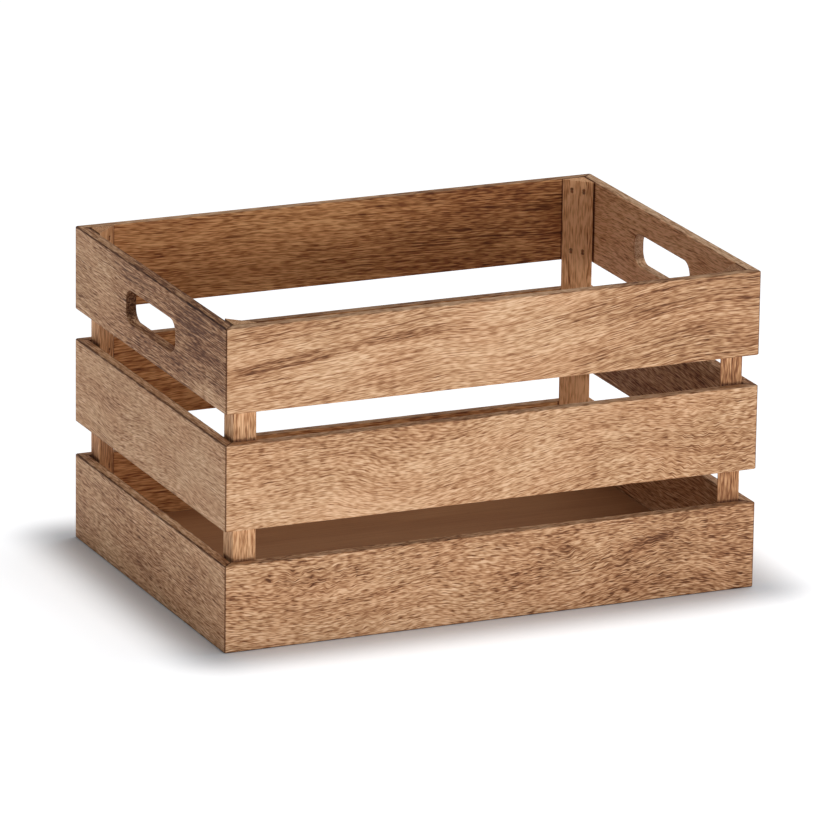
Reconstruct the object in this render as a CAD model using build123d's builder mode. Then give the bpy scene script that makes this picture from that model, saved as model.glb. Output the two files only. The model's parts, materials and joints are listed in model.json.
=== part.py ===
from build123d import *
import os

# Slatted wooden apple crate, nailed up from thin hardwood boards on four corner posts.
# +X runs along the long side, -Y is the front and +Z is up. The origin lies on the table,
# under the middle of the crate. Sizes are in millimetres.

# Outside of the crate
crate_length = 350.0
crate_width = 245.0
corner_radius = 1.2

# Side boards: one thickness, three tiers, their long edges eased by sanding
board = 7.0
arris = 0.8
bottom_slat = 54.5
lower_gap = 21.0
middle_slat = 53.5
upper_gap = 19.0
top_slat = 53.0

# Hand-hold slots in the two top end slats, a little right of the middle seen from outside
slot_length = 79.5
slot_height = 20.5
slot_corner = 8.2
slot_above_foot = 15.4
slot_offset = 2.5
slot_ease = 0.6

# Corner posts: right-angled triangles that stand off the end slats by a thin gap
post_leg = 15.5
post_gap = 0.8
post_arris = 0.4

# Base panel, dropped in from below against the posts' feet
base_recess = 6.0
base_thickness = 5.5
base_clearance = 0.5

# Brads: flat wire with a T head and a point, set below the surface
brad_length = 12.0
brad_width = 1.2
brad_thickness = 1.05
brad_point = 1.2
head_width = 1.9
head_thickness = 0.6
brad_set = 1.0
brad_spread = 4.0
brad_from_edge = 6.7
brad_stagger = 0.8
base_brad_near = 4.0
base_brad_far = 6.5

# Worked out from the sizes above
crate_height = bottom_slat + lower_gap + middle_slat + upper_gap + top_slat
inside_length = crate_length - 2 * board
inside_width = crate_width - 2 * board
post_foot = base_recess + base_thickness
middle_foot = bottom_slat + lower_gap
tiers = {
    "bottom": (0.0, bottom_slat),
    "middle": (middle_foot, middle_slat),
    "top": (crate_height - top_slat, top_slat),
}
sides = {
    "front": Vector(0, -1, 0),
    "back": Vector(0, 1, 0),
    "left": Vector(-1, 0, 0),
    "right": Vector(1, 0, 0),
}
corners = {
    "front_left": (-1, -1),
    "front_right": (1, -1),
    "back_left": (-1, 1),
    "back_right": (1, 1),
}
LONG_SLAT = -1
END_SLAT = 1

os.makedirs("parts", exist_ok=True)


def save(piece, node):
    """Label the finished piece and write it out under its node's name."""
    piece.label = node
    export_step(piece, f"parts/{node}.step")


def brad_shape(head_top):
    """One brad along -Z from the surface z = 0, its head reaching up to head_top."""
    half_head = head_width / 2
    half_wire = brad_width / 2
    head_foot = -brad_set - head_thickness
    tip = -brad_set - brad_length
    shoulder = tip + brad_point
    with BuildPart() as brad:
        with BuildSketch(Plane.XZ):
            with BuildLine():
                Polyline(
                    (-half_head, head_top),
                    (half_head, head_top),
                    (half_head, head_foot),
                    (half_wire, head_foot),
                    (half_wire, shoulder),
                    (0, tip),
                    (-half_wire, shoulder),
                    (-half_wire, head_foot),
                    (-half_head, head_foot),
                    close=True,
                )
            make_face()
        extrude(amount=brad_thickness / 2, both=True)
    return brad.part


def post_point(corner, along_length, along_width):
    """A point measured inwards from the right angle of a corner post, seen from above."""
    side_x, side_y = corners[corner]
    x = side_x * (inside_length / 2 - post_gap - along_length)
    y = side_y * (inside_width / 2 - along_width)
    return x, y


def brad_places(corner, tier, into):
    """Planes on a post's diagonal face where brads go into one slat of one tier."""
    side_x, side_y = corners[corner]
    foot, height = tiers[tier]
    face_x, face_y = post_point(corner, post_leg / 2, post_leg / 2)
    across = Vector(side_x, -side_y, 0).normalized()
    inwards = Vector(-side_x, -side_y, 0).normalized()
    low = max(foot, post_foot) + brad_from_edge
    high = foot + height - brad_from_edge
    places = []
    for level in (low, high):
        middle = Vector(face_x, face_y, level - into * brad_stagger)
        places.append(Plane(middle + across * into * brad_spread, x_dir=across, z_dir=inwards))
    return places


def base_brad_places(corner):
    """Planes under the base panel where its brads go up into one post's foot."""
    places = []
    for along_length, along_width in (
        (base_brad_near, base_brad_far),
        (base_brad_far, base_brad_near),
    ):
        x, y = post_point(corner, along_length, along_width)
        places.append(Plane((x, y, base_recess), x_dir=(1, 0, 0), z_dir=(0, 0, -1)))
    return places


brad = brad_shape(head_top=-brad_set)
brad_hole = brad_shape(head_top=0.0)


def make_slat(side, tier):
    """A side board, cut by its mitres from the ring of one tier, with holes for its brads."""
    foot, height = tiers[tier]
    outward = sides[side]
    along = outward.rotate(Axis.Z, 90)
    long_side = side in ("front", "back")
    to_face = crate_width / 2 if long_side else crate_length / 2
    to_end = crate_length / 2 if long_side else crate_width / 2
    into = LONG_SLAT if long_side else END_SLAT
    with BuildPart() as slat:
        with BuildSketch(Plane.XY.offset(foot)):
            RectangleRounded(crate_length, crate_width, corner_radius)
            Rectangle(inside_length, inside_width, mode=Mode.SUBTRACT)
        extrude(amount=height)
        levels = slat.edges().group_by(Axis.Z)
        fillet(levels[0] + levels[-1], arris)
        for end in (-1, 1):
            mitre_corner = outward * to_face + along * end * to_end
            split(bisect_by=Plane(mitre_corner, z_dir=outward - along * end), keep=Keep.TOP)
        if tier == "top" and not long_side:
            slot_level = foot + slot_above_foot + slot_height / 2
            slot_centre = outward * to_face + along * slot_offset + Vector(0, 0, slot_level)
            with BuildSketch(Plane(slot_centre, x_dir=along, z_dir=outward)):
                RectangleRounded(slot_length, slot_height, slot_corner)
            extrude(amount=-board, mode=Mode.SUBTRACT)
            fillet(slat.edges(Select.LAST).filter_by(Axis.X, reverse=True), slot_ease)
        for corner in corners:
            if side in corner:
                with Locations(*brad_places(corner, tier, into)):
                    add(brad, mode=Mode.SUBTRACT)
    save(slat.part, f"{side}_slat_{tier}")


def make_post(corner):
    """A triangular corner post on the base panel, with the sunk holes of its brads."""
    with BuildPart() as post:
        with BuildSketch(Plane.XY.offset(post_foot)):
            with BuildLine():
                Polyline(
                    post_point(corner, 0, 0),
                    post_point(corner, post_leg, 0),
                    post_point(corner, 0, post_leg),
                    close=True,
                )
            make_face()
        extrude(amount=crate_height - post_foot)
        fillet(post.edges().filter_by(Axis.Z), post_arris)
        holes = base_brad_places(corner)
        for tier in tiers:
            holes += brad_places(corner, tier, LONG_SLAT) + brad_places(corner, tier, END_SLAT)
        with Locations(*holes):
            add(brad_hole, mode=Mode.SUBTRACT)
    save(post.part, f"corner_post_{corner}")


def make_base_panel():
    """The base panel: one flat sheet with a little room all round, nailed up into the posts."""
    with BuildPart() as panel:
        with BuildSketch(Plane.XY.offset(base_recess)):
            Rectangle(inside_length - 2 * base_clearance, inside_width - 2 * base_clearance)
        extrude(amount=base_thickness)
        for corner in corners:
            with Locations(*base_brad_places(corner)):
                add(brad_hole, mode=Mode.SUBTRACT)
    save(panel.part, "base_panel")


def make_post_brads(corner):
    """All the brads driven through one post into the two slats of each tier."""
    with BuildPart() as post_brads:
        for tier in tiers:
            places = brad_places(corner, tier, LONG_SLAT) + brad_places(corner, tier, END_SLAT)
            with Locations(*places):
                add(brad)
    save(post_brads.part, f"post_brads_{corner}")


def make_base_brads():
    """The brads driven up through the base panel into the posts' feet."""
    with BuildPart() as base_brads:
        for corner in corners:
            with Locations(*base_brad_places(corner)):
                add(brad)
    save(base_brads.part, "base_brads")


for side in sides:
    for tier in tiers:
        make_slat(side, tier)

for corner in corners:
    make_post(corner)
    make_post_brads(corner)

make_base_panel()
make_base_brads()
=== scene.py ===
import json
import math

import bpy
from mathutils import Matrix, Vector


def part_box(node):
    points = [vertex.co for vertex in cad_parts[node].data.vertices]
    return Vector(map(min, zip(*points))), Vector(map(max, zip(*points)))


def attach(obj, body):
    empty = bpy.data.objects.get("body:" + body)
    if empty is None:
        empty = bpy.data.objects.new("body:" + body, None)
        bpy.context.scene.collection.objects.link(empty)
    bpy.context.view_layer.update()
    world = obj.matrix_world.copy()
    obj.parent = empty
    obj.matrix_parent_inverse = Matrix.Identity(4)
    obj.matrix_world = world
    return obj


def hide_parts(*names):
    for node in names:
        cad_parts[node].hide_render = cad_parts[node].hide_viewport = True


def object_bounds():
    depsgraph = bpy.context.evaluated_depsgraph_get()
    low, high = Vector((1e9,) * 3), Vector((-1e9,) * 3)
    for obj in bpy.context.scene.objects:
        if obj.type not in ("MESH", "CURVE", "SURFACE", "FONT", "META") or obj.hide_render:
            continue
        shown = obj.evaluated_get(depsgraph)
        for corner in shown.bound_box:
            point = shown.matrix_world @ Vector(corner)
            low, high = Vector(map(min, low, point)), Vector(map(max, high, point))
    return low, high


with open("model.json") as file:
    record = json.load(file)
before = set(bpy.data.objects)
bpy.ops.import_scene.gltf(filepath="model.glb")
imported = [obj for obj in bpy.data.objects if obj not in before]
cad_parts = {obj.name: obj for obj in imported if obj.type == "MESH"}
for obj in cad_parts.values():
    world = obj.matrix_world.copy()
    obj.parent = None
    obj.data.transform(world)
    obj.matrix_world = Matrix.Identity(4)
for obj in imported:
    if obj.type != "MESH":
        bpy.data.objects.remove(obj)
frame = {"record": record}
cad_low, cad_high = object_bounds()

# The studio: a white table that runs out of sight, one large soft lamp in front and to the
# right, a weaker one overhead, and an even white room around them. A long lens stands well
# back, a little to the left of the crate's front.
MM = 0.001
scene = bpy.context.scene
scene.view_settings.view_transform = "Standard"


def point_camera(azimuth, elevation, roll, distance, aim, lens):
    """A camera on a sphere round aim; azimuth 0 looks along +Y at the front of the crate."""
    back = Vector((
        math.sin(azimuth) * math.cos(elevation),
        -math.cos(azimuth) * math.cos(elevation),
        math.sin(elevation),
    ))
    level = Vector((math.cos(azimuth), math.sin(azimuth), 0.0))
    upright = back.cross(level)
    right = level * math.cos(roll) + upright * math.sin(roll)
    up = upright * math.cos(roll) - level * math.sin(roll)
    camera = bpy.data.objects.new("studio_camera", bpy.data.cameras.new("studio_camera"))
    camera.data.lens = lens
    camera.data.sensor_width = 36.0
    camera.data.clip_end = 50.0
    turn = Matrix((right, up, back)).transposed()
    camera.matrix_world = Matrix.Translation(aim + back * distance) @ turn.to_4x4()
    scene.collection.objects.link(camera)
    scene.camera = camera


crate_middle = (cad_low + cad_high) / 2
point_camera(
    azimuth=math.radians(-23.936),
    elevation=math.radians(16.841),
    roll=math.radians(0.774),
    distance=4.600,
    aim=crate_middle + Vector((0.0117, 0.0235, -0.0138)),
    lens=322.9,
)


def soft_lamp(name, place, size, power):
    """A softbox of (width, height) at place, turned to face the crate."""
    lamp = bpy.data.objects.new(name, bpy.data.lights.new(name, "AREA"))
    lamp.data.shape = "RECTANGLE"
    lamp.data.size, lamp.data.size_y = size
    lamp.data.energy = power
    lamp.location = place
    lamp.rotation_euler = (crate_middle - Vector(place)).to_track_quat("-Z", "Y").to_euler()
    scene.collection.objects.link(lamp)


soft_lamp("front_softbox", place=(0.9, -3.3, 0.42), size=(1.8, 0.75), power=44.0)
soft_lamp("overhead_softbox", place=(0.8, 0.2, 3.0), size=(1.4, 1.4), power=22.0)

room = bpy.data.worlds.new("white_room")
room.use_nodes = True
room_light = room.node_tree.nodes["Background"]
room_light.inputs["Color"].default_value = (1.0, 1.0, 1.0, 1.0)
room_light.inputs["Strength"].default_value = 0.32
scene.world = room


class Link:
    """A node's output in a sum: each operator adds the Math node that works it out."""

    def __init__(self, graph, socket):
        self.graph = graph
        self.socket = socket

    def other(self, name):
        """Another output of the same node."""
        return Link(self.graph, self.socket.node.outputs[name])

    def __add__(self, value):
        return self.graph.maths("ADD", self, value)

    def __radd__(self, value):
        return self.graph.maths("ADD", value, self)

    def __sub__(self, value):
        return self.graph.maths("SUBTRACT", self, value)

    def __rsub__(self, value):
        return self.graph.maths("SUBTRACT", value, self)

    def __mul__(self, value):
        return self.graph.maths("MULTIPLY", self, value)

    def __rmul__(self, value):
        return self.graph.maths("MULTIPLY", value, self)

    def __truediv__(self, value):
        return self.graph.maths("DIVIDE", self, value)

    def __rtruediv__(self, value):
        return self.graph.maths("DIVIDE", value, self)

    def __neg__(self):
        return self.graph.maths("MULTIPLY", self, -1.0)


class Graph:
    """A node tree being wired. node() adds any node: settings first, then its sockets."""

    def __init__(self, tree):
        self.tree = tree

    def node(self, kind, settings=None, sockets=None, out=0):
        made = self.tree.nodes.new(kind)
        for name, value in (settings or {}).items():
            if name == "stops":
                self.fill_ramp(made.color_ramp, value)
            elif name == "choices":
                self.add_choices(made.index_switch_items, value)
            else:
                setattr(made, name, value)
        self.wire(made, sockets or {})
        return Link(self, made.outputs[out])

    def wire(self, made, sockets):
        for name, value in sockets.items():
            if isinstance(value, Link):
                self.tree.links.new(value.socket, made.inputs[name])
            else:
                made.inputs[name].default_value = value

    def fill_ramp(self, ramp, stops):
        while len(ramp.elements) < len(stops):
            ramp.elements.new(1.0)
        for element, (place, colour) in zip(ramp.elements, stops):
            element.position = place
            element.color = (*colour, 1.0)

    def add_choices(self, items, number):
        while len(items) < number:
            items.new()

    def maths(self, operation, *values):
        return self.node("ShaderNodeMath", {"operation": operation}, dict(enumerate(values)))

    def fold(self, operation, values):
        """One result from a list of values, such as their sum or the largest of them."""
        result = values[0]
        for value in values[1:]:
            result = self.maths(operation, result, value)
        return result

    def split(self, vector):
        made = self.node("ShaderNodeSeparateXYZ", None, {0: vector})
        return made, made.other("Y"), made.other("Z")

    def join(self, x, y, z):
        return self.node("ShaderNodeCombineXYZ", None, {"X": x, "Y": y, "Z": z})


def step(graph, value, low, high):
    """0 below low, 1 above high and a smooth rise between them; turned round if low > high."""
    return graph.node("ShaderNodeMapRange", {"interpolation_type": "SMOOTHSTEP"}, {
        "Value": value, "From Min": low, "From Max": high})


# The table shines white by itself but for a strip around the crate, where the shadow lies
TABLE_REACH = 6.0
SHADOW_REACH = 50.0 * MM
table_mesh = bpy.data.meshes.new("table_top")
table_corners = [(x * TABLE_REACH, y * TABLE_REACH) for x, y in ((-1, -1), (1, -1), (1, 1), (-1, 1))]
table_mesh.from_pydata([(x, y, cad_low.z) for x, y in table_corners], [], [(0, 1, 2, 3)])
table_top = bpy.data.objects.new("table_top", table_mesh)
scene.collection.objects.link(table_top)
table_paint = bpy.data.materials.new("white_table")
table_paint.use_nodes = True
table_graph = Graph(table_paint.node_tree)
table_x, table_y, _ = table_graph.split(table_graph.node("ShaderNodeTexCoord", out="Object"))
past_end = table_graph.maths("MAXIMUM", table_graph.maths("ABSOLUTE", table_x) - cad_high.x, 0.0)
past_side = table_graph.maths("MAXIMUM", table_graph.maths("ABSOLUTE", table_y) - cad_high.y, 0.0)
from_crate = table_graph.maths("SQRT", past_end * past_end + past_side * past_side)
table_graph.wire(table_paint.node_tree.nodes["Principled BSDF"], {
    "Base Color": (0.87, 0.91, 0.96, 1.0),
    "Roughness": 0.9,
    "Emission Color": step(table_graph, from_crate, 0.0, SHADOW_REACH),
    "Emission Strength": 0.60,
})
table_mesh.materials.append(table_paint)


# The slats: twelve boards 7 mm thick of an open-pored hardwood, stained brown. Their long edges
# are eased by sanding, their ends are mitred, and a hand-hold is sawn through the top board of
# each end. They are nailed to the corner posts from the inside.
def new_tree(name, inputs):
    """A geometry node tree with named inputs; gives the graph, its inputs and its output."""
    tree = bpy.data.node_groups.new(name, "GeometryNodeTree")
    tree.interface.new_socket("Geometry", in_out="INPUT", socket_type="NodeSocketGeometry")
    tree.interface.new_socket("Geometry", in_out="OUTPUT", socket_type="NodeSocketGeometry")
    for label, kind in inputs:
        tree.interface.new_socket(label, in_out="INPUT", socket_type=f"NodeSocket{kind}")
    graph = Graph(tree)
    source = graph.node("NodeGroupInput")
    ports = {socket.name: Link(graph, socket) for socket in source.socket.node.outputs if socket.name}
    sink = tree.nodes.new("NodeGroupOutput")
    return graph, ports, sink


def finish_tree(graph, geometry, material, sink):
    """Every tree ends the same way: instances made real, then the material."""
    real = graph.node("GeometryNodeRealizeInstances", None, {"Geometry": geometry})
    dressed = graph.node("GeometryNodeSetMaterial", None, {"Geometry": real, "Material": material})
    graph.wire(sink, {0: dressed})


SHARP_ANGLE = math.radians(36)


def grow(name, tree, values, brads=()):
    """Run a tree once and keep the result as a plain mesh. brads are (place, turn) pairs."""
    seed_mesh = bpy.data.meshes.new(name + "_seed")
    seed_mesh.from_pydata([place for place, _ in brads], [], [])
    turns = seed_mesh.attributes.new("turn", "FLOAT_VECTOR", "POINT")
    for entry, (_, turn) in zip(turns.data, brads):
        entry.vector = turn
    piece = bpy.data.objects.new(name, seed_mesh)
    scene.collection.objects.link(piece)
    modifier = piece.modifiers.new("shape", "NODES")
    modifier.node_group = tree
    for item in tree.interface.items_tree:
        if item.in_out == "INPUT" and item.name in values:
            modifier[item.identifier] = values[item.name]
    piece.update_tag()
    bpy.context.view_layer.update()
    evaluated = piece.evaluated_get(bpy.context.evaluated_depsgraph_get())
    mesh = bpy.data.meshes.new_from_object(evaluated)
    mesh.name = name
    piece.modifiers.remove(modifier)
    piece.data = mesh
    mesh.materials.clear()
    mesh.materials.append(values["Material"])
    mesh.polygons.foreach_set("material_index", [0] * len(mesh.polygons))
    mesh.polygons.foreach_set("use_smooth", [True] * len(mesh.polygons))
    mesh.set_sharp_from_angle(angle=SHARP_ANGLE)
    return piece


ZONE_CELLS = 3


def spread_to_edge(graph, place, half, zone, cells, rounded):
    """Gather a row of even points so that ZONE_CELLS of them fall in the zone at each edge."""
    share = graph.maths("ABSOLUTE", place) / half
    flat_share = 1.0 - 2.0 * ZONE_CELLS / cells
    in_zone = graph.maths("MAXIMUM", share - flat_share, 0.0) / (1.0 - flat_share)
    inner = graph.maths("MINIMUM", share, flat_share) / flat_share * (half - zone)
    outer = graph.maths("TANGENT", in_zone * (math.pi / 4)) if rounded else in_zone
    return graph.maths("SIGN", place) * (inner + zone * outer), in_zone


def sand_unevenly(graph, geometry, amount, seed):
    """Take a little off the surface here and there, never adding to it."""
    place = graph.node("GeometryNodeInputPosition")
    normal = graph.node("GeometryNodeInputNormal")
    broad = graph.node(
        "ShaderNodeTexNoise", {"noise_dimensions": "4D"},
        {"Vector": place, "W": seed, "Scale": 28.0, "Detail": 2.0},
    )
    close = graph.node(
        "ShaderNodeTexNoise", {"noise_dimensions": "4D"},
        {"Vector": place, "W": seed + 7.0, "Scale": 160.0, "Detail": 2.0},
    )
    depth = (broad * 0.7 + close * 0.3) * amount
    offset = graph.node(
        "ShaderNodeVectorMath", {"operation": "SCALE"}, {"Vector": normal, "Scale": -depth},
    )
    return graph.node("GeometryNodeSetPosition", None, {"Geometry": geometry, "Offset": offset})


def slat_tree(name, slotted):
    """A mitred board. Its own X runs along it, Y goes in from the outer face and Z is up."""
    labels = ["Length", "Height", "Thickness", "Arris", "Corner Radius", "Seam", "Joint Gap"]
    labels += ["Unevenness", "Seed", "Reach", "Foot", "Turn"]
    if slotted:
        labels += ["Slot Length", "Slot Height", "Slot Corner", "Slot Ease", "Slot Along", "Slot Up"]
    inputs = [(label, "Float") for label in labels] + [("Material", "Material")]
    graph, port, sink = new_tree(name, inputs)
    long_cells = 166 if slotted else 236
    thick_cells = 9
    high_cells = 30
    block = graph.node("GeometryNodeMeshCube", None, {
        "Size": graph.join(port["Length"], port["Thickness"], port["Height"]),
        "Vertices X": long_cells + 1,
        "Vertices Y": thick_cells + 1,
        "Vertices Z": high_cells + 1,
    })
    x, y, z = graph.split(graph.node("GeometryNodeInputPosition"))
    half_long, half_thick, half_high = port["Length"] / 2, port["Thickness"] / 2, port["Height"] / 2
    arris, corner = port["Arris"], port["Corner Radius"]
    x, end_share = spread_to_edge(graph, x, half_long, corner, long_cells, False)
    y, _ = spread_to_edge(graph, y, half_thick, arris, thick_cells, True)
    z, _ = spread_to_edge(graph, z, half_high, arris, high_cells, True)
    # Round the four long edges: past the flats, the square shell is drawn in to a round one
    core_y = graph.node("ShaderNodeClamp", None, {
        "Value": y, "Min": arris - half_thick, "Max": half_thick - arris})
    core_z = graph.node("ShaderNodeClamp", None, {
        "Value": z, "Min": arris - half_high, "Max": half_high - arris})
    over_y, over_z = y - core_y, z - core_z
    square = graph.maths("MAXIMUM", graph.maths("ABSOLUTE", over_y), graph.maths("ABSOLUTE", over_z))
    round_length = graph.maths("SQRT", over_y * over_y + over_z * over_z)
    draw_in = square / graph.maths("MAXIMUM", round_length, 1e-7)
    y = core_y + over_y * draw_in
    z = core_z + over_z * draw_in
    # Round the crate's upright corner on the outer face, let its last third dip into the seam
    # between the boards, then cut the mitre
    arc = math.pi / 4 + graph.maths("ARCSINE", (end_share - 1.0) / math.sqrt(2.0))
    groove = graph.maths("MAXIMUM", end_share - 2.0 / 3.0, 0.0) * 3.0 * port["Seam"]
    dip = corner * (1.0 - graph.maths("COSINE", arc)) + groove
    depth = y + half_thick
    depth = depth + (1.0 - depth / port["Thickness"]) * dip
    x = x * (1.0 - (depth + port["Joint Gap"]) / half_long)
    shaped = graph.node("GeometryNodeSetPosition", None, {
        "Geometry": block.other("Mesh"),
        "Position": graph.join(x, depth - port["Reach"], z + half_high + port["Foot"]),
    })
    if slotted:
        shaped = cut_slot(graph, port, shaped)
    sanded = sand_unevenly(graph, shaped, port["Unevenness"], port["Seed"])
    turned = graph.node("GeometryNodeTransform", None, {
        "Geometry": sanded, "Rotation": graph.join(0.0, 0.0, port["Turn"])})
    finish_tree(graph, turned, port["Material"], sink)
    return graph.tree


def cut_slot(graph, port, board):
    """Cut the hand-hold: a hole with round corners, whose rims are eased on both faces."""
    corner_points = 12
    run_points = 73
    outline = graph.node("GeometryNodeCurvePrimitiveQuadrilateral", None, {
        "Width": port["Slot Length"], "Height": port["Slot Height"]})
    outline = graph.node("GeometryNodeFilletCurve", {"mode": "POLY"}, {
        "Curve": outline, "Count": corner_points, "Radius": port["Slot Corner"]})
    overshoot = 1.0 * MM
    run = graph.node("GeometryNodeCurvePrimitiveLine", None, {
        "Start": (0.0, 0.0, -overshoot),
        "End": graph.join(0.0, 0.0, port["Thickness"] + overshoot)})
    run = graph.node("GeometryNodeResampleCurve", None, {"Curve": run, "Count": run_points})
    cutter = graph.node("GeometryNodeCurveToMesh", None, {
        "Curve": run, "Profile Curve": outline, "Fill Caps": True})
    cutter = graph.node("GeometryNodeMergeByDistance", None, {"Geometry": cutter, "Distance": 1e-6})
    u, v, w = graph.split(graph.node("GeometryNodeInputPosition"))
    ease, radius = port["Slot Ease"], port["Slot Corner"]
    past_u = graph.maths("MAXIMUM", graph.maths("ABSOLUTE", u) - (port["Slot Length"] / 2 - radius), 0.0)
    past_v = graph.maths("MAXIMUM", graph.maths("ABSOLUTE", v) - (port["Slot Height"] / 2 - radius), 0.0)
    past = graph.maths("MAXIMUM", graph.maths("SQRT", past_u * past_u + past_v * past_v), 1e-7)
    face = graph.maths("MAXIMUM", graph.maths("MINIMUM", w, port["Thickness"] - w), 0.0)
    short = graph.maths("MAXIMUM", ease - face, 0.0)
    flare = ease - graph.maths("SQRT", ease * ease - short * short)
    u = u + graph.maths("SIGN", u) * past_u / past * flare
    v = v + graph.maths("SIGN", v) * past_v / past * flare
    cutter = graph.node("GeometryNodeSetPosition", None, {
        "Geometry": cutter,
        "Position": graph.join(
            port["Slot Along"] - u, w - port["Reach"], v + port["Slot Up"] + port["Foot"])})
    return graph.node("GeometryNodeMeshBoolean", {"operation": "DIFFERENCE", "solver": "MANIFOLD"}, {
        "Mesh 1": board, "Mesh 2": cutter})


def noise(graph, x, y, z, detail=1.0, seed=0.0):
    """Cloudy noise at a point whose three parts are already divided by the cloud's size."""
    return graph.node("ShaderNodeTexNoise", {"noise_dimensions": "4D"}, {
        "Vector": graph.join(x, y, z), "W": seed, "Scale": 1.0, "Detail": detail})


def mix_colour(graph, share, first, second, blend="MIX"):
    """Two colours mixed or, with blend MULTIPLY, the first tinted by the second."""
    settings = {"data_type": "RGBA", "blend_type": blend, "clamp_factor": True}
    first, second = [value if isinstance(value, Link) else (*value, 1.0) for value in (first, second)]
    # A Mix node has sockets for every kind of data: these are its factor and its two colours
    return graph.node("ShaderNodeMix", settings, {0: share, 6: first, 7: second}, out=2)


def tint(graph, share, colour, tone):
    """A colour multiplied by a tone, in the given share."""
    return mix_colour(graph, share, colour, mix_colour(graph, 1.0, colour, tone, "MULTIPLY"))


def patches(graph, along, across, spots):
    """The sum of soft oval patches: (middle, reach along the board, reach across, tilt, value)."""
    values = []
    for middle, reach_along, reach_across, tilt, value in spots:
        off_along = along - middle[0]
        off_across = across - middle[1] - off_along * math.tan(math.radians(tilt))
        off_along = off_along / reach_along
        off_across = off_across / reach_across
        values.append(step(graph, off_along * off_along + off_across * off_across, 1.0, 0.0) * value)
    return graph.fold("ADD", values) if values else 0.0


def open_grain(graph, along, across, through, look):
    """Lightness from 0 to 1 and height of open-pored hardwood, all lengths in millimetres.

    The growth lines run along the board, rise at look["tilt"], sway a little and follow the
    slopes of look["bends"]. They turn curly in the patches of look["curls"], where the pores
    show as short hooked flecks, and ripple in those of look["ripples"]. The patches of
    look["shades"] lighten or darken the board.
    """
    seed = look["seed"]
    sway = noise(graph, along / 75.0, through / 60.0, across / 40.0, 1.0, seed) - 0.5
    wander = noise(graph, along / 22.0, through / 20.0, across / 16.0, 1.0, seed + 1.0) - 0.5
    curly = patches(graph, along, across, look["curls"])
    ripply = patches(graph, along, across, look["ripples"])
    line = across - along * math.tan(math.radians(look["tilt"])) + sway * look["sway"]
    line = line + wander * look["wander"]
    for middle, reach_along, reach_across, slope in look["bends"]:
        bend = patches(graph, along, across, [(middle, reach_along, reach_across, 0, 1.0)])
        line = line - (along - middle[0]) * bend * math.tan(math.radians(slope))
    if look["curls"]:
        hooks = noise(graph, along / 8.0, through / 9.0, across / 8.0, 1.0, seed + 10.0) - 0.5
        shift = noise(graph, along / 8.0, through / 9.0, across / 8.0, 1.0, seed + 13.0) - 0.5
        line = line + hooks * curly * 7.0
        along = along + shift * curly * 7.0
    if look["ripples"]:
        ripple = noise(graph, along / 4.0, through / 6.0, across / 6.0, 0.0, seed + 11.0) - 0.5
        line = line + ripple * ripply * 2.8
    shade = patches(graph, along, across, look["shades"])
    dash = look["dash_length"]
    tone = noise(graph, along / 80.0, through / 30.0, line / 22.0, 2.0, seed + 2.0) - 0.5
    bands = noise(graph, along / 150.0, through / 3.0, line / 3.2, 2.0, seed + 3.0) - 0.5
    streaks = noise(graph, along / 90.0, through / 1.4, line / 1.0, 1.0, seed + 4.0)
    gather = noise(graph, along / 30.0, through / 9.0, line / 8.0, 1.0, seed + 5.0) - 0.5
    dashes = noise(graph, along / dash, through / 0.9, line / 0.74, 0.5, seed + 6.0)
    fibre = noise(graph, along / (dash * 4.0), through / 0.6, line / 0.58, 0.5, seed + 7.0)
    pores = noise(graph, along / (dash * 1.2), through / 0.8, line / 0.74, 0.0, seed + 12.0)
    bundles = graph.node("ShaderNodeTexVoronoi", None, {
        "Vector": graph.join(along / (dash * 1.3), through / 1.6, line / 1.15 + seed), "Scale": 1.0})
    crowd = gather * look["gather"] - shade * 0.35
    dark_dash = step(graph, dashes, 0.36, 0.64)
    between = step(graph, bundles, 0.35, 0.80)
    pore = step(graph, pores + crowd, 0.575, 0.655)
    streak = step(graph, streaks + crowd, 0.56, 0.66)
    light = (
        look["light"]
        + tone * look["tone"]
        + bands * look["bands"]
        + (dark_dash - 0.5) * look["dashes"]
        + (fibre - 0.5) * look["fibre"]
        - (between - 0.3) * look["bundles"]
        - streak * look["streaks"]
        - pore * look["pores"]
        + shade * 0.5
    )
    height = dark_dash * 0.4 + (fibre - 0.5) - pore
    return light, height


TANNED = [
    (0.00, (0.110, 0.038, 0.013)),
    (0.25, (0.250, 0.103, 0.041)),
    (0.50, (0.430, 0.223, 0.105)),
    (0.72, (0.600, 0.352, 0.190)),
    (1.00, (0.780, 0.520, 0.325)),
]
SLAT_STAIN_AND_SHADE = (0.30, 0.22, 0.18)


def from_slot_wall(graph, along, rise, slot):
    """Distance in millimetres out from the wall of a hand-hold, negative inside it."""
    corner = slot["Slot Corner"] / MM
    past_end = graph.maths("ABSOLUTE", along - slot["Slot Along"] / MM)
    past_end = past_end - (slot["Slot Length"] / 2 / MM - corner)
    past_side = graph.maths("ABSOLUTE", rise - slot["Slot Up"] / MM)
    past_side = past_side - (slot["Slot Height"] / 2 / MM - corner)
    inner = graph.maths("MINIMUM", graph.maths("MAXIMUM", past_end, past_side), 0.0)
    past_end = graph.maths("MAXIMUM", past_end, 0.0)
    past_side = graph.maths("MAXIMUM", past_side, 0.0)
    return graph.maths("SQRT", past_end * past_end + past_side * past_side) + inner - corner


def new_paint(name, turn=0.0):
    """A material, its graph and a point's three parts in millimetres, turned back by turn."""
    paint = bpy.data.materials.new(name)
    paint.use_nodes = True
    graph = Graph(paint.node_tree)
    place = graph.node("ShaderNodeTexCoord", out="Object")
    place = graph.node("ShaderNodeMapping", None, {
        "Vector": place, "Rotation": (0.0, 0.0, -turn), "Scale": (1 / MM, 1 / MM, 1 / MM)})
    return paint, graph, graph.split(place)


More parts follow.
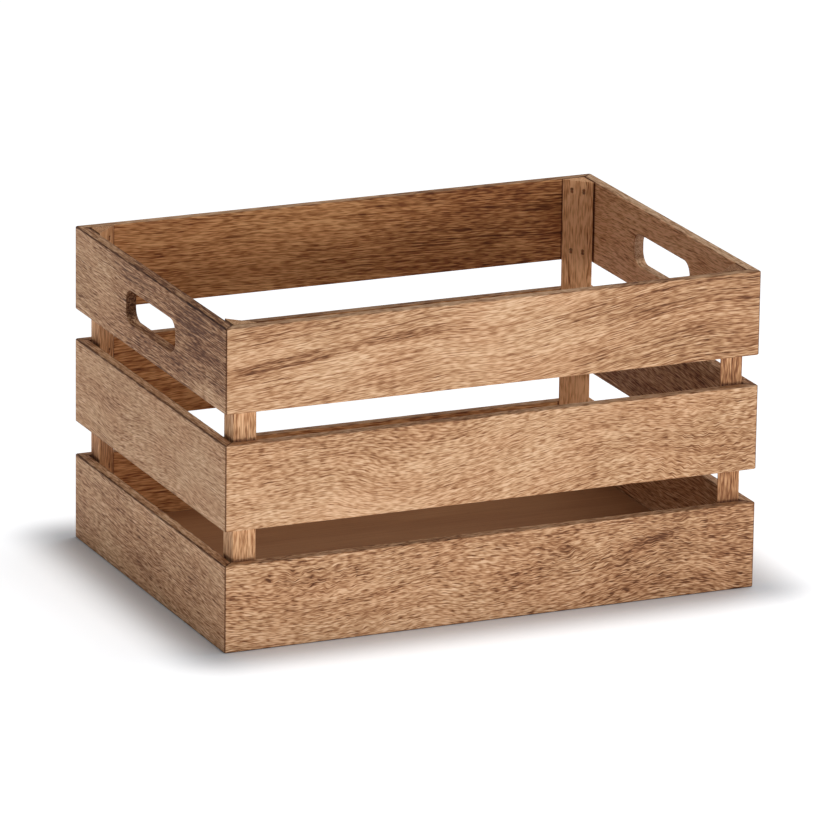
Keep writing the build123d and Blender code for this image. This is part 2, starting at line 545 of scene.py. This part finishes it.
def slat_wood(name, turn, reach, foot, length, height, thickness, slot, behind_post, look):
    """The finish of one board, with the stain darker where it gathers.

    That is on the arrises and mitres and on the wall of a hand-hold. Painted shade darkens that wall
    further, the inside where the post stands close, and the foot of a board that stands on the table.
    """
    paint, graph, (along, inwards, up) = new_paint(name, turn)
    depth = inwards + reach / MM
    rise = up - foot / MM
    light, relief = open_grain(graph, along, rise, depth, look)
    from_edge = graph.maths("MINIMUM", rise, height / MM - rise)
    from_face = graph.maths("MINIMUM", depth, thickness / MM - depth)
    from_arris = graph.maths("SQRT", from_edge * from_edge + from_face * from_face)
    from_end = length / 2 / MM - graph.maths("ABSOLUTE", along)
    from_mitre = (from_end - depth) / math.sqrt(2.0)
    patchy = noise(graph, along / 9.0, depth / 3.0, rise / 3.0, 2.0, look["seed"] + 8.0)
    inside = step(graph, depth, thickness / MM - 1.0, thickness / MM - 0.4)

    rim_reach, rim_share = look["rim"]
    on_arris = step(graph, from_arris + (patchy - 0.5) * 2.4, rim_reach, rim_reach * 0.5) * rim_share
    towards_top = step(graph, rise, height / MM * 0.3, height / MM * 0.7)
    on_arris = on_arris * (towards_top * 0.6 + 0.4)
    on_mitre = step(graph, from_mitre + patchy * 0.2, 0.85, 0.40) * 0.85
    # Painted shade in the crevice where the post stands close to the board's inner face
    by_post = step(graph, from_end, behind_post / MM + 0.3, behind_post / MM - 0.5)
    above_panel = step(graph, up, post_low.z / MM - 0.5, post_low.z / MM + 0.5)
    stains_and_shade = [on_arris, on_mitre, by_post * above_panel * inside]
    # The hand-hold's wall: stain taken up by the end grain, and painted shade, so the end and upper
    # walls are darker than the sill
    if slot is not None:
        from_wall = from_slot_wall(graph, along, rise, slot)
        above_sill = rise - (slot["Slot Up"] - slot["Slot Height"] / 2) / MM
        wall_share = step(graph, above_sill, 0.8, 4.0) * 0.8
        stains_and_shade.append(step(graph, from_wall + patchy * 0.4, 0.95, 0.35) * wall_share)
    # A painted contact shadow along the foot of a board that stands on the table
    if foot < MM:
        stains_and_shade.append(step(graph, rise + (patchy - 0.5) * 1.0, 0.9, 0.4) * 0.9)

    colour = graph.node("ShaderNodeValToRGB", {"stops": TANNED}, {"Fac": light})
    warmth = noise(graph, along / 45.0, depth / 20.0, rise / 20.0, 1.0, look["seed"] + 9.0)
    colour = tint(graph, step(graph, warmth, 0.35, 0.65), colour, look["blush"])
    colour = tint(graph, inside, colour, look["inside"])
    colour = tint(graph, graph.fold("MAXIMUM", stains_and_shade), colour, SLAT_STAIN_AND_SHADE)
    bump = graph.node("ShaderNodeBump", None, {
        "Strength": 0.35, "Distance": 0.15 * MM, "Height": relief})
    graph.wire(paint.node_tree.nodes["Principled BSDF"], {
        "Base Color": colour,
        "Roughness": 0.60 - relief * 0.08,
        "Normal": bump,
        "Specular IOR Level": 0.22,
    })
    return paint


# How each board's grain runs and how strongly it shows, in millimetres, degrees and steps of
# lightness. A patch is (middle, reach along, reach across, tilt, value) and a bend (middle,
# reach along, reach across, slope); a rim is how far its stain reaches and how dark it gets.
common_look = {
    "tilt": 0.0,
    "sway": 6.0,
    "wander": 0.9,
    "bends": [],
    "curls": [],
    "ripples": [],
    "shades": [],
    "dash_length": 6.5,
    "dashes": 0.34,
    "bundles": 0.14,
    "fibre": 0.75,
    "pores": 0.20,
    "streaks": 0.18,
    "gather": 0.25,
    "light": 0.70,
    "tone": 0.45,
    "bands": 0.45,
    "blush": (0.96, 0.91, 0.88),
    "inside": (1.0, 1.0, 1.0),
    "rim": (0.7, 0.60),
}
looks = {
    "front_slat_bottom": {
        "seed": 11.0,
        "light": 0.63,
        "tilt": 0.5,
        "dash_length": 4.8,
        "dashes": 0.38,
        "fibre": 0.60,
        "streaks": 0.08,
        "bands": 0.55,
        "pores": 0.32,
        "bundles": 0.20,
        "wander": 3.0,
        "gather": 0.40,
        "bends": [((-60, 22), 120, 50, 6), ((60, 14), 110, 44, 10)],
        "curls": [
            ((-112, 38), 50, 15, 0, 1.0),
            ((45, 34), 40, 14, 0, 0.8),
            ((128, 42), 46, 16, 0, 0.8),
            ((-78, 9), 30, 10, 0, 0.8),
        ],
        "ripples": [((100, 24), 60, 24, 0, 0.8)],
        "shades": [
            ((42, 34), 30, 7, 14, -0.20),
            ((105, 38), 26, 4, 18, -0.24),
            ((-115, 40), 45, 12, 0, -0.10),
            ((140, 20), 90, 50, 0, -0.16),
            ((-120, 20), 90, 50, 0, 0.07),
            # A painted reflection: a lighter band along the foot, standing for light thrown up from the
            # white table
            ((0, 2), 260, 9, 0, 0.07),
            ((-110, 40), 60, 14, 0, -0.06),
        ],
    },
    "front_slat_middle": {
        "seed": 23.0,
        "light": 0.72,
        "tilt": 1.0,
        "dash_length": 4.8,
        "dashes": 0.34,
        "fibre": 0.60,
        "streaks": 0.08,
        "bands": 0.55,
        "wander": 1.8,
        "pores": 0.22,
        "bends": [((15, 10), 130, 60, 10)],
        "curls": [((90, 26), 60, 30, 0, 0.25)],
        "ripples": [((145, 18), 100, 44, 0, 1.0)],
        "shades": [
            ((-95, 44), 100, 18, 2, -0.12),
            ((-100, 8), 100, 16, 2, 0.08),
            ((150, 16), 55, 38, 0, -0.12),
            ((120, 27), 90, 60, 0, -0.08),
        ],
    },
    "front_slat_top": {
        "seed": 37.0,
        "light": 0.70,
        "tilt": 5.5,
        "dash_length": 6.0,
        "sway": 3.0,
        "wander": 0.5,
        "pores": 0.14,
        "bundles": 0.10,
        "streaks": 0.26,
        "bands": 0.60,
        "bends": [((70, 30), 110, 80, 5)],
        "shades": [
            ((-120, 31), 85, 5, 7, -0.28),
            ((-155, 46), 60, 8, 4, -0.16),
            ((-45, 38), 50, 4, 6, -0.20),
            ((15, 46), 60, 12, 5, 0.18),
            ((20, 20), 90, 20, 4, 0.12),
            ((130, 30), 100, 60, 3, -0.20),
        ],
    },
    "left_slat_bottom": {
        "rim": (1.2, 0.95),
        "seed": 41.0,
        "light": 0.67,
        "tilt": -2.0,
        "wander": 1.5,
        "shades": [((-10, 24), 60, 20, -6, -0.16), ((85, 30), 40, 22, -6, -0.12)],
    },
    "left_slat_middle": {
        "rim": (1.2, 0.95),
        "seed": 52.0,
        "light": 0.70,
        "tilt": 1.0,
        "dashes": 0.24,
        "bands": 0.25,
        "streaks": 0.10,
        "bends": [((-10, 6), 100, 40, 6)],
        "shades": [((90, 20), 50, 30, 0, 0.10)],
    },
    "left_slat_top": {
        "rim": (1.2, 0.95),
        "seed": 63.0,
        "light": 0.64,
        "tilt": 0.0,
        "dash_length": 7.0,
        "streaks": 0.26,
        "bands": 0.6,
        "shades": [
            ((15, 26), 80, 70, 0, -0.24),
            ((95, 42), 60, 22, 0, -0.36),
            ((95, 22), 50, 14, 0, -0.20),
            ((105, 3), 40, 8, 0, 0.12),
        ],
    },
    "right_slat_middle": {"seed": 71.0, "light": 0.56, "tilt": 4.0},
    "right_slat_top": {"seed": 74.0, "light": 0.88, "tilt": -2.0, "inside": (1.12, 0.97, 0.86)},
    "back_slat_middle": {"seed": 81.0, "tilt": -3.0, "bands": 0.8, "inside": (1.0, 0.80, 0.56)},
    "back_slat_top": {
        "seed": 84.0,
        "tilt": 2.0,
        "light": 0.72,
        "bands": 0.70,
        "inside": (1.0, 0.80, 0.56),
        "shades": [((-120, 26), 150, 70, 0, -0.22)],
    },
    "back_slat_bottom": {"seed": 87.0, "tilt": 1.0, "inside": (1.0, 0.80, 0.56)},
}

crate_length = cad_high.x - cad_low.x
crate_width = cad_high.y - cad_low.y
board_low, board_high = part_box("front_slat_middle")
board = board_high.y - board_low.y
post_low, post_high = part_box("corner_post_front_left")
ARRIS = 0.8 * MM
CORNER_RADIUS = 1.2 * MM
POST_LEG = 15.5 * MM
POST_GAP = 0.8 * MM

plain_tree = slat_tree("mitred_slat", False)
slotted_tree = slat_tree("hand_hold_slat", True)
quarter_turns = {"front": 0, "right": 1, "back": 2, "left": 3}
openings = {opening["name"]: opening["box_m"] for opening in frame["record"]["physics"]["openings"]}
hold_low, hold_high = openings["left_hand_hold"]
slot_size = {
    "Slot Length": 79.5 * MM,
    "Slot Height": 20.5 * MM,
    "Slot Corner": 8.2 * MM,
    "Slot Ease": 0.6 * MM,
    "Slot Along": -(hold_low[1] + hold_high[1]) / 2,
    "Slot Up": (hold_low[2] + hold_high[2]) / 2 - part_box("left_slat_top")[0].z,
}
for seed, (side, turns) in enumerate(quarter_turns.items()):
    for tier in ("bottom", "middle", "top"):
        node = f"{side}_slat_{tier}"
        low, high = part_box(node)
        long_side = side in ("front", "back")
        slotted = tier == "top" and not long_side
        length = crate_length if long_side else crate_width
        height = high.z - low.z
        reach = (crate_width if long_side else crate_length) / 2
        turn = turns * math.pi / 2
        look = {**common_look, "seed": 5.0 + 13.0 * seed + 90.0 * low.z, **looks.get(node, {})}
        values = {
            "Length": length,
            "Height": height,
            "Thickness": board,
            "Arris": ARRIS,
            "Corner Radius": CORNER_RADIUS,
            "Seam": 0.12 * MM,
            "Joint Gap": 0.06 * MM,
            "Unevenness": 0.12 * MM,
            "Seed": 3.0 * seed + low.z * 40.0,
            "Reach": reach,
            "Foot": low.z,
            "Turn": turn,
            "Material": slat_wood(
                f"stained_{node}",
                turn=turn,
                reach=reach,
                foot=low.z,
                length=length,
                height=height,
                thickness=board,
                slot=slot_size if slotted else None,
                behind_post=board + POST_LEG + (POST_GAP if long_side else 0.0),
                look=look,
            ),
        }
        if slotted:
            values.update(slot_size)
        slat = grow(f"visual_{node}", slotted_tree if slotted else plain_tree, values)
        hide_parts(node)
        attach(slat, "root")


# The corner posts: triangular bars sawn from a square one, which stand on the base panel with
# their long face to the inside. The boards are nailed to them with T-headed brads from the
# inside, and the heads are sunk just under the surface of the long face.
BRAD_LENGTH = 12.0 * MM
BRAD_WIDTH = 1.2 * MM
BRAD_THICKNESS = 1.05 * MM
BRAD_POINT = 1.2 * MM
BRAD_HEAD = 1.9 * MM
BRAD_HEAD_THICKNESS = 0.6 * MM
BRAD_SET = 1.0 * MM
BRAD_SPREAD = 4.0 * MM
BRAD_FROM_EDGE = 6.7 * MM
BRAD_STAGGER = 0.8 * MM
BASE_BRAD_NEAR = 4.0 * MM
BASE_BRAD_FAR = 6.5 * MM
POST_ARRIS = 0.4 * MM
POST_STAIN_AND_SHADE = (0.34, 0.24, 0.18)
corners = {
    "front_left": (-1, -1),
    "front_right": (1, -1),
    "back_left": (-1, 1),
    "back_right": (1, 1),
}


def post_point(corner, along_length, along_width, level):
    """A point measured inwards from the right angle of a corner post, seen from above."""
    side_x, side_y = corners[corner]
    x = side_x * (crate_length / 2 - board - POST_GAP - along_length)
    y = side_y * (crate_width / 2 - board - along_width)
    return Vector((x, y, level))


def turn_of(across, outwards):
    """The turn that lays a brad's X across and its Z outwards, as Euler angles."""
    return Matrix((across, outwards.cross(across), outwards)).transposed().to_euler()


def post_brads(corner):
    """Places and turns of the brads driven through one post: two heights in each board."""
    side_x, side_y = corners[corner]
    across = Vector((side_x, -side_y, 0.0)).normalized()
    inwards = Vector((-side_x, -side_y, 0.0)).normalized()
    brads = []
    for tier in ("bottom", "middle", "top"):
        low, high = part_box(f"front_slat_{tier}")
        for level in (max(low.z, post_low.z) + BRAD_FROM_EDGE, high.z - BRAD_FROM_EDGE):
            for into in (-1, 1):
                place = post_point(corner, POST_LEG / 2, POST_LEG / 2, level - into * BRAD_STAGGER)
                brads.append((place + across * into * BRAD_SPREAD, turn_of(across, inwards)))
    return brads


def base_brads(corner):
    """Places and turns of the two brads driven up through the base panel into one post."""
    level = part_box("base_panel")[0].z
    turn = turn_of(Vector((1.0, 0.0, 0.0)), Vector((0.0, 0.0, -1.0)))
    both_insets = ((BASE_BRAD_NEAR, BASE_BRAD_FAR), (BASE_BRAD_FAR, BASE_BRAD_NEAR))
    return [(post_point(corner, *insets, level), turn) for insets in both_insets]


def on_brads(graph, port, shape):
    """One copy of a shape at every brad."""
    turn = graph.node("GeometryNodeInputNamedAttribute", {"data_type": "FLOAT_VECTOR"}, {"Name": "turn"})
    return graph.node("GeometryNodeInstanceOnPoints", None, {
        "Points": port["Geometry"], "Instance": shape, "Rotation": turn})


def punch_heads(graph, port, solid):
    """Cut the small square-ended hole over each brad's head."""
    punch = graph.node("GeometryNodeMeshCube", None, {
        "Size": graph.join(port["Head Width"], port["Head Thickness"], port["Set"] * 2.0)})
    return graph.node("GeometryNodeMeshBoolean", {"operation": "DIFFERENCE", "solver": "MANIFOLD"}, {
        "Mesh 1": solid, "Mesh 2": on_brads(graph, port, punch)})


def post_tree():
    """A post: a triangle with eased corners drawn up from the panel, then worn and punched."""
    arris_points = 4
    face_cuts = 4
    height_points = 180
    labels = ["Foot", "Top", "Arris", "Unevenness", "Seed", "Head Width", "Head Thickness", "Set"]
    inputs = [(label, "Float") for label in labels] + [("Material", "Material")]
    inputs += [(label, "Vector") for label in ("Right Angle", "Face Start", "Face End")]
    graph, port, sink = new_tree("corner_post", inputs)
    middle = graph.node("ShaderNodeMix", {"data_type": "VECTOR"}, {
        "A": port["Face Start"], "B": port["Face End"], "Factor": 0.5}, out=1)
    triangle = graph.node("GeometryNodeCurvePrimitiveQuadrilateral", {"mode": "POINTS"}, {
        "Point 1": port["Right Angle"],
        "Point 2": port["Face Start"],
        "Point 3": middle,
        "Point 4": port["Face End"],
    })
    triangle = graph.node("GeometryNodeFilletCurve", {"mode": "POLY"}, {
        "Curve": triangle, "Count": arris_points, "Radius": port["Arris"]})
    triangle = graph.node("GeometryNodeSubdivideCurve", None, {"Curve": triangle, "Cuts": face_cuts})
    height = graph.node("GeometryNodeCurvePrimitiveLine", None, {
        "Start": graph.join(0.0, 0.0, port["Foot"]), "End": graph.join(0.0, 0.0, port["Top"])})
    height = graph.node("GeometryNodeResampleCurve", None, {"Curve": height, "Count": height_points})
    post = graph.node("GeometryNodeCurveToMesh", None, {
        "Curve": height, "Profile Curve": triangle, "Fill Caps": True})
    post = graph.node("GeometryNodeMergeByDistance", None, {"Geometry": post, "Distance": 1e-6})
    post = sand_unevenly(graph, post, port["Unevenness"], port["Seed"])
    finish_tree(graph, punch_heads(graph, port, post), port["Material"], sink)
    return graph.tree


def post_wood(name, corner, look):
    """Upright grain, stained round a brad, with stain and painted shade where a board's edge meets it.
    """
    paint, graph, (x, y, z) = new_paint(name)
    light, relief = open_grain(graph, z, x, y, look)
    edges = []
    for tier in ("bottom", "middle", "top"):
        low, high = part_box(f"front_slat_{tier}")
        edges += [low.z / MM] if tier == "top" else [low.z / MM, high.z / MM]
    from_board = graph.fold("MINIMUM", [graph.maths("ABSOLUTE", z - edge) for edge in edges])
    from_end_board = (crate_length / 2 - board - POST_GAP) / MM - graph.maths("ABSOLUTE", x)
    from_long_board = (crate_width / 2 - board) / MM - graph.maths("ABSOLUTE", y)
    from_face = POST_LEG / MM - from_end_board - from_long_board
    off_middle = graph.maths("ABSOLUTE", from_end_board - from_long_board) / math.sqrt(2.0)
    off_brads = off_middle - BRAD_SPREAD / MM
    off_levels = [z - brad.z / MM for brad, _ in post_brads(corner)]
    off_level_squared = graph.fold("MINIMUM", [level * level for level in off_levels])
    from_brad = graph.maths("SQRT", off_level_squared + off_brads * off_brads)
    smear = noise(graph, x / 1.6, y / 1.6, z / 2.5, 2.0, look["seed"] + 8.0)
    # Where a board's edge meets the post: stain smeared on, and painted shade in the crevice beside the
    # edge
    by_board = step(graph, from_board - smear * 3.2, 0.4, -1.2) * step(graph, from_face, 0.4, 1.4) * 0.85
    by_brad = step(graph, from_brad + smear * 0.8, 1.8, 1.0) * step(graph, from_face, 2.0, 1.0)
    colour = graph.node("ShaderNodeValToRGB", {"stops": TANNED}, {"Fac": light})
    colour = mix_colour(graph, 1.0, colour, look["blush"], "MULTIPLY")
    colour = tint(graph, graph.maths("MAXIMUM", by_board, by_brad), colour, POST_STAIN_AND_SHADE)
    bump = graph.node("ShaderNodeBump", None, {
        "Strength": 0.4, "Distance": 0.15 * MM, "Height": relief})
    graph.wire(paint.node_tree.nodes["Principled BSDF"], {
        "Base Color": colour,
        "Roughness": 0.66 - relief * 0.08,
        "Normal": bump,
        "Specular IOR Level": 0.3,
    })
    return paint


standing_tree = post_tree()
post_look = {**common_look, "blush": (1.0, 0.91, 0.81), "sway": 3.0, "wander": 1.0, "streaks": 0.16}
post_looks = {
    "front_left": {"light": 0.78},
    "front_right": {"light": 0.46},
    "back_left": {"light": 0.72, "blush": (1.05, 0.90, 0.76)},
    "back_right": {"light": 0.88, "blush": (1.18, 0.98, 0.80)},
}
for seed, (corner, (side_x, side_y)) in enumerate(corners.items()):
    node = f"corner_post_{corner}"
    look = {**post_look, **post_looks[corner], "seed": 60.0 + seed}
    face_ends = [post_point(corner, POST_LEG, 0.0, 0.0), post_point(corner, 0.0, POST_LEG, 0.0)]
    if side_x * side_y < 0:
        face_ends.reverse()
    post = grow(f"visual_{node}", standing_tree, {
        "Right Angle": post_point(corner, 0.0, 0.0, 0.0),
        "Face Start": face_ends[0],
        "Face End": face_ends[1],
        "Foot": post_low.z,
        "Top": post_high.z,
        "Arris": POST_ARRIS,
        "Unevenness": 0.3 * MM,
        "Seed": 50.0 + seed,
        "Head Width": BRAD_HEAD,
        "Head Thickness": BRAD_THICKNESS,
        "Set": BRAD_SET,
        "Material": post_wood(f"stained_{node}", corner, look),
    }, post_brads(corner))
    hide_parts(node)
    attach(post, "root")


# The brads: short nails of flat steel wire, blued and gone dull, with a T head and a wedge
# point. They are shot through the posts into the boards, and up through the base panel into
# the posts, until their heads lie just under the surface.
def brad_tree():
    """Brads stood on the seed points, each one a column of five square-cornered rows."""
    labels = ["Length", "Width", "Thickness", "Point", "Head Width", "Head Thickness", "Set"]
    inputs = [(label, "Float") for label in labels] + [("Material", "Material")]
    graph, port, sink = new_tree("t_head_brads", inputs)
    rows = 5
    column = graph.node("GeometryNodeMeshCube", None, {
        "Size": (1.0, 1.0, rows - 1.0), "Vertices X": 2, "Vertices Y": 2, "Vertices Z": rows})
    x, y, z = graph.split(graph.node("GeometryNodeInputPosition"))
    tip, neck = -port["Set"] - port["Length"], -port["Set"] - port["Head Thickness"]
    levels = [tip, tip + port["Point"], neck, neck, -port["Set"]]
    widths = [port["Width"] * 0.1, port["Width"], port["Width"], port["Head Width"], port["Head Width"]]
    row = graph.maths("ROUND", z + (rows - 1) / 2)

    def by_row(values):
        choices = {str(number): value for number, value in enumerate(values)}
        return graph.node("GeometryNodeIndexSwitch", {"data_type": "FLOAT", "choices": rows}, {
            "Index": row, **choices})

    brad = graph.node("GeometryNodeSetPosition", None, {
        "Geometry": column.other("Mesh"),
        "Position": graph.join(x * by_row(widths), y * port["Thickness"], by_row(levels)),
    })
    finish_tree(graph, on_brads(graph, port, brad), port["Material"], sink)
    return graph.tree


def brad_steel():
    """Dull blued wire, a little rusty in the spots where damp wood has touched it."""
    paint, graph, (x, y, z) = new_paint("blued_steel")
    spots = step(graph, noise(graph, x / 0.6, y / 0.6, z / 0.6, 3.0, 4.0), 0.48, 0.60)
    graph.wire(paint.node_tree.nodes["Principled BSDF"], {
        "Base Color": mix_colour(graph, spots, (0.030, 0.027, 0.025), (0.060, 0.024, 0.011)),
        "Metallic": 0.9 - spots * 0.7,
        "Roughness": 0.42 + spots * 0.4,
    })
    return paint


nail_tree = brad_tree()
nail_steel = brad_steel()
brad_groups = {f"post_brads_{corner}": post_brads(corner) for corner in corners}
brad_groups["base_brads"] = [brad for corner in corners for brad in base_brads(corner)]
for node, brads in brad_groups.items():
    group = grow(f"visual_{node}", nail_tree, {
        "Length": BRAD_LENGTH,
        "Width": BRAD_WIDTH,
        "Thickness": BRAD_THICKNESS,
        "Point": BRAD_POINT,
        "Head Width": BRAD_HEAD,
        "Head Thickness": BRAD_HEAD_THICKNESS,
        "Set": BRAD_SET,
        "Material": nail_steel,
    }, brads)
    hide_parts(node)
    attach(group, "root")


# The base: one sheet of thin smooth board, dropped in from below against the posts' feet with
# a little room all round, and nailed up into them from underneath.
def panel_tree():
    """A flat sheet with its edges broken, a little uneven, punched for its brads."""
    labels = ["Length", "Width", "Thickness", "Foot", "Arris", "Unevenness", "Seed"]
    labels += ["Head Width", "Head Thickness", "Set"]
    inputs = [(label, "Float") for label in labels] + [("Material", "Material")]
    graph, port, sink = new_tree("base_sheet", inputs)
    long_cells, wide_cells, thick_cells = 120, 84, 8
    sheet = graph.node("GeometryNodeMeshCube", None, {
        "Size": graph.join(port["Length"], port["Width"], port["Thickness"]),
        "Vertices X": long_cells + 1,
        "Vertices Y": wide_cells + 1,
        "Vertices Z": thick_cells + 1,
    })
    halves = [port["Length"] / 2, port["Width"] / 2, port["Thickness"] / 2]
    places = graph.split(graph.node("GeometryNodeInputPosition"))
    arris = port["Arris"]
    cores, overs = [], []
    for place, half, cells in zip(places, halves, (long_cells, wide_cells, thick_cells)):
        place, _ = spread_to_edge(graph, place, half, arris, cells, True)
        core = graph.node("ShaderNodeClamp", None, {
            "Value": place, "Min": arris - half, "Max": half - arris})
        cores.append(core)
        overs.append(place - core)
    square = graph.fold("MAXIMUM", [graph.maths("ABSOLUTE", over) for over in overs])
    round_length = graph.maths("SQRT", graph.fold("ADD", [over * over for over in overs]))
    draw_in = square / graph.maths("MAXIMUM", round_length, 1e-7)
    x, y, z = [core + over * draw_in for core, over in zip(cores, overs)]
    sheet = graph.node("GeometryNodeSetPosition", None, {
        "Geometry": sheet.other("Mesh"),
        "Position": graph.join(x, y, z + halves[2] + port["Foot"]),
    })
    sheet = sand_unevenly(graph, sheet, port["Unevenness"], port["Seed"])
    finish_tree(graph, punch_heads(graph, port, sheet), port["Material"], sink)
    return graph.tree


def panel_finish(low, high):
    """A smooth brown stain over three thin plies: faint long clouds, and the plies at the rim."""
    paint, graph, (x, y, z) = new_paint("stained_base_panel")
    cloud = noise(graph, x / 120.0, y / 26.0, z / 30.0, 3.0, 81.0) - 0.5
    lines = noise(graph, x / 60.0, y / 1.6, z / 1.6, 2.0, 82.0) - 0.5
    specks = noise(graph, x / 2.4, y / 0.5, z / 0.5, 1.0, 83.0)
    speck = step(graph, specks, 0.62, 0.74)
    light = 0.36 + cloud * 0.34 + lines * 0.22 - speck * 0.12
    colour = graph.node("ShaderNodeValToRGB", {"stops": TANNED}, {"Fac": light})
    ply = (z - low.z / MM) / ((high.z - low.z) / MM) * 3.0
    core = step(graph, graph.maths("ABSOLUTE", ply - 1.5), 0.62, 0.40)
    rim_x = high.x / MM - graph.maths("ABSOLUTE", x)
    rim_y = high.y / MM - graph.maths("ABSOLUTE", y)
    rim = step(graph, graph.maths("MINIMUM", rim_x, rim_y), 0.7, 0.3)
    end_grain = mix_colour(graph, core, (0.36, 0.21, 0.11), (0.17, 0.080, 0.038))
    colour = mix_colour(graph, rim, colour, end_grain)
    relief = lines - speck
    bump = graph.node("ShaderNodeBump", None, {
        "Strength": 0.25, "Distance": 0.1 * MM, "Height": relief})
    graph.wire(paint.node_tree.nodes["Principled BSDF"], {
        "Base Color": colour,
        "Roughness": 0.50 + cloud * 0.2,
        "Normal": bump,
        "Specular IOR Level": 0.22,
    })
    return paint


panel_low, panel_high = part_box("base_panel")
base_panel = grow("visual_base_panel", panel_tree(), {
    "Length": panel_high.x - panel_low.x,
    "Width": panel_high.y - panel_low.y,
    "Thickness": panel_high.z - panel_low.z,
    "Foot": panel_low.z,
    "Arris": 0.3 * MM,
    "Unevenness": 0.1 * MM,
    "Seed": 71.0,
    "Head Width": BRAD_HEAD,
    "Head Thickness": BRAD_THICKNESS,
    "Set": BRAD_SET,
    "Material": panel_finish(panel_low, panel_high),
}, brad_groups["base_brads"])
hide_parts("base_panel")
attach(base_panel, "root")
